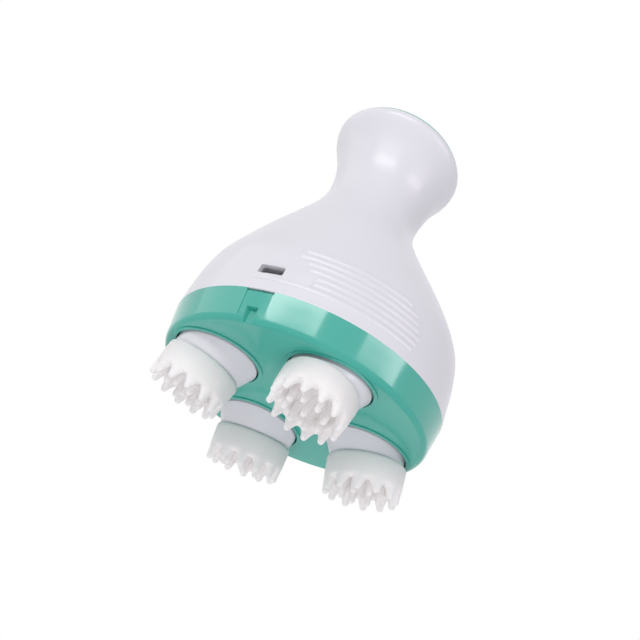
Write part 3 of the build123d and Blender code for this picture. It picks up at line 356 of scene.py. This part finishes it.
def finger_profile(length, shape):
    """Half outline of a finger that hangs from z = 0: wide at its root, round at its tip."""
    tip = shape["tip"]
    straight = length - tip
    profile = [(0, 0, 0)]
    for step in range(TAPER_STEPS + 1):
        share = step / TAPER_STEPS
        slim = (1 - share) ** TAPER_POWER
        through = tip + (shape["through"] - tip) * slim
        across = tip + (shape["across"] - tip) * slim
        profile.append((through, across, -straight * share))
    for step in range(1, TIP_STEPS):
        angle = math.pi / 2 * step / TIP_STEPS
        radius = tip * math.cos(angle)
        profile.append((radius, radius, -straight - tip * math.sin(angle)))
    profile.append((0, 0, -length))
    return profile


def add_finger(mesh, bearing, root_ring, tip_ring, shape):
    """One finger, from inside the cap to its rounded tip."""
    length = CAP_LENGTH - shape["foot"] + ROOT_OVERLAP
    finger = bmesh.new()
    lathe(finger, finger_profile(length, shape), FINGER_STEPS)
    splay = math.atan2(tip_ring - root_ring, length)
    place = (
        Matrix.Rotation(bearing, 4, "Z")
        @ Matrix.Translation((root_ring, 0, ROOT_OVERLAP - shape["foot"]))
        @ Matrix.Rotation(-splay, 4, "Y")
    )
    finger.transform(place)
    loose = bpy.data.meshes.new("finger_source")
    finger.to_mesh(loose)
    finger.free()
    mesh.from_mesh(loose)
    bpy.data.meshes.remove(loose)


def rough_cap():
    """The cap and its fingers, as solids of revolution that run into each other."""
    source = bmesh.new()
    outline = [
        (0, -POCKET_DEPTH),
        (POCKET_RADIUS, -POCKET_DEPTH),
        (POCKET_RADIUS, 0),
        (RIM_RADIUS - LIP, 0),
        (RIM_RADIUS - LIP_CORNER, -LIP_CORNER),
        (RIM_RADIUS, -LIP),
        (WEB_RADIUS, -WEB + LIP),
        (WEB_RADIUS - LIP_CORNER, -WEB + LIP_CORNER),
        (WEB_RADIUS - LIP, -WEB),
        (WELL_RADIUS, -WEB),
        (WELL_RADIUS - LIP, -WELL_FLOOR),
        (0, -WELL_FLOOR),
    ]
    lathe(source, [(radius, radius, height) for radius, height in outline], CAP_STEPS)
    for count, root_ring, tip_ring, shape in FINGER_RINGS:
        for finger in range(count):
            add_finger(source, 2 * math.pi * finger / count, root_ring, tip_ring, shape)
    bmesh.ops.recalc_face_normals(source, faces=source.faces)
    mesh = bpy.data.meshes.new("cap_source")
    source.to_mesh(mesh)
    source.free()
    return mesh


def cap_mesh():
    """The cap in its own frame: rim at z = 0, fingers down, webs blended between them."""
    maker = placed("cap_source", rough_cap())
    remesh = maker.modifiers.new("remesh", "REMESH")
    remesh.mode = "VOXEL"
    remesh.voxel_size = CAP_VOXEL
    remesh.use_smooth_shade = True
    smooth = maker.modifiers.new("smooth", "SMOOTH")
    smooth.factor = SMOOTH_FACTOR
    smooth.iterations = SMOOTH_PASSES
    graph = bpy.context.evaluated_depsgraph_get()
    result = bpy.data.meshes.new_from_object(maker.evaluated_get(graph))
    bpy.data.objects.remove(maker)
    result.name = "silicone_cap"
    return result


def head_matrix(head):
    """From a cap's own frame, rim at its origin, to the part's frame."""
    return (
        Matrix.Translation(HEAD_CENTRES[head])
        @ Matrix.Rotation(math.radians(HEAD_LEANS[head]), 4, "Z")
        @ Matrix.Translation((0, 0, CANT_CENTRE))
        @ Matrix.Rotation(-CANT, 4, "Y")
        @ Matrix.Translation((0, 0, -CAP_SEAT))
        @ Matrix.Rotation(math.radians(CAP_TURNS[head]), 4, "Z")
    )


def silicone_caps():
    """Four soft caps that stand for the plain solids."""
    pattern = cap_mesh()
    pattern.materials.append(FINISHES["silicone"])
    for head in HEAD_LEANS:
        own = pattern.copy()
        own.transform(head_matrix(head))
        cap = placed(f"silicone_cap_{head}", own)
        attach(cap, f"head_{head}")
        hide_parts(f"head_cap_{head}")


# ------------------------------------------------------------------ floor, light, camera
def combined(tree, operation, first, *others):
    """Join outputs of 0 or more by MAXIMUM (any of them) or MINIMUM (all of them)."""
    value = first
    for other in others:
        joined = tree.nodes.new("ShaderNodeMath")
        joined.operation = operation
        tree.links.new(value, joined.inputs[0])
        tree.links.new(other, joined.inputs[1])
        value = joined.outputs["Value"]
    return value


def blend_shaders(tree, share, first, second, output):
    """Show the second shader by that share, and the first for the rest."""
    mix = tree.nodes.new("ShaderNodeMixShader")
    tree.links.new(share, mix.inputs["Fac"])
    tree.links.new(first, mix.inputs[1])
    tree.links.new(second, mix.inputs[2])
    tree.links.new(mix.outputs["Shader"], tree.nodes[output].inputs["Surface"])


def distance_fade(tree, near, far):
    """0 within one distance of the object's origin, 1 beyond another."""
    place = tree.nodes.new("ShaderNodeTexCoord")
    reach = tree.nodes.new("ShaderNodeVectorMath")
    reach.operation = "LENGTH"
    fade = tree.nodes.new("ShaderNodeMapRange")
    fade.interpolation_type = "SMOOTHSTEP"
    fade.inputs["From Min"].default_value = near
    fade.inputs["From Max"].default_value = far
    tree.links.new(place.outputs["Object"], reach.inputs[0])
    tree.links.new(reach.outputs["Value"], fade.inputs["Value"])
    return fade.outputs["Result"]


def only_from_above(tree, shader):
    """Show the floor near the object and from above only.

    A view that comes up through it sees nothing of it, and light from below passes it for
    such a view alone. Seen from above, it is solid and keeps the shadow.
    """
    path = tree.nodes.new("ShaderNodeLightPath").outputs
    side = tree.nodes.new("ShaderNodeNewGeometry").outputs
    clear = tree.nodes.new("ShaderNodeBsdfTransparent")
    light = combined(tree, "MAXIMUM", path["Is Shadow Ray"], path["Is Diffuse Ray"])
    passed = combined(tree, "MINIMUM", light, path["Transparent Depth"])
    far = distance_fade(tree, *FLOOR_FADE)
    hidden = combined(tree, "MAXIMUM", passed, side["Backfacing"], far)
    blend_shaders(
        tree, hidden, shader.outputs["BSDF"], clear.outputs["BSDF"], "Material Output",
    )


def floor():
    """Plain pale floor at the level of the finger tips."""
    mesh = bpy.data.meshes.new("floor")
    signs = ((-1, -1), (1, -1), (1, 1), (-1, 1))
    corners = [(x * FLOOR_REACH, y * FLOOR_REACH, 0) for x, y in signs]
    mesh.from_pydata(corners, [], [(0, 1, 2, 3)])
    ground = placed("floor", mesh)
    made, tree, shader = surface("floor_pale", srgb(236, 236, 238), FLOOR_ROUGHNESS)
    only_from_above(tree, shader)
    mesh.materials.append(made)


def towards(bearing, height, distance):
    """A point that far from the middle of the bell, bearing from the front toward +X."""
    turn, rise = math.radians(bearing), math.radians(height)
    return LIT_POINT + distance * Vector(
        (math.sin(turn) * math.cos(rise), -math.cos(turn) * math.cos(rise), math.sin(rise))
    )


def lamps():
    """Soft studio light: rectangular lamps all round and below, aimed at the bell."""
    for name, bearing, height, width, length, power, colour, mirrored in SOFTBOXES:
        data = bpy.data.lights.new(name, "AREA")
        data.shape = "RECTANGLE"
        data.size, data.size_y = width, length
        data.energy = power
        data.color = colour
        lamp = placed(name, data)
        lamp.visible_camera = False
        lamp.visible_glossy = mirrored
        place = towards(bearing, height, LAMP_DISTANCE)
        lamp.location = place
        lamp.rotation_euler = (LIT_POINT - place).to_track_quat("-Z", "Y").to_euler()


def world():
    """Pale surroundings, white where the camera sees them straight or in a reflection."""
    studio = bpy.data.worlds.new("studio")
    bpy.context.scene.world = studio
    studio.use_nodes = True
    tree = studio.node_tree
    path = tree.nodes.new("ShaderNodeLightPath").outputs
    ambient = tree.nodes["Background"]
    ambient.inputs["Color"].default_value = AMBIENT_COLOUR
    ambient.inputs["Strength"].default_value = AMBIENT_STRENGTH
    white = tree.nodes.new("ShaderNodeBackground")
    white.inputs["Color"].default_value = WHITE
    white.inputs["Strength"].default_value = 1.0
    seen = combined(
        tree, "MAXIMUM",
        path["Is Camera Ray"], path["Is Glossy Ray"], path["Is Transmission Ray"],
    )
    blend_shaders(
        tree, seen,
        ambient.outputs["Background"], white.outputs["Background"], "World Output",
    )


def camera():
    """The photograph's view: from the front right and below, with its own roll."""
    data = bpy.data.cameras.new("view")
    data.sensor_width = SENSOR_MM
    data.lens = data.sensor_width * FOCAL_PIXELS / FRAME_PIXELS
    data.shift_x = (FRAME_PIXELS / 2 - CENTRE_PIXELS[0]) / FRAME_PIXELS
    data.shift_y = (CENTRE_PIXELS[1] - FRAME_PIXELS / 2) / FRAME_PIXELS
    data.clip_start, data.clip_end = CLIP
    eye = placed("view", data)
    forward = Vector(CAMERA_FORWARD).normalized()
    right = Vector(CAMERA_RIGHT).normalized()
    up = right.cross(forward)
    turn = Matrix((right, up, -forward)).transposed().to_4x4()
    eye.matrix_world = Matrix.Translation(CAMERA_PLACE) @ turn
    bpy.context.scene.camera = eye


dress_solids()
silicone_caps()
floor()
lamps()
world()
camera()
bpy.context.scene.view_settings.view_transform = "Standard"
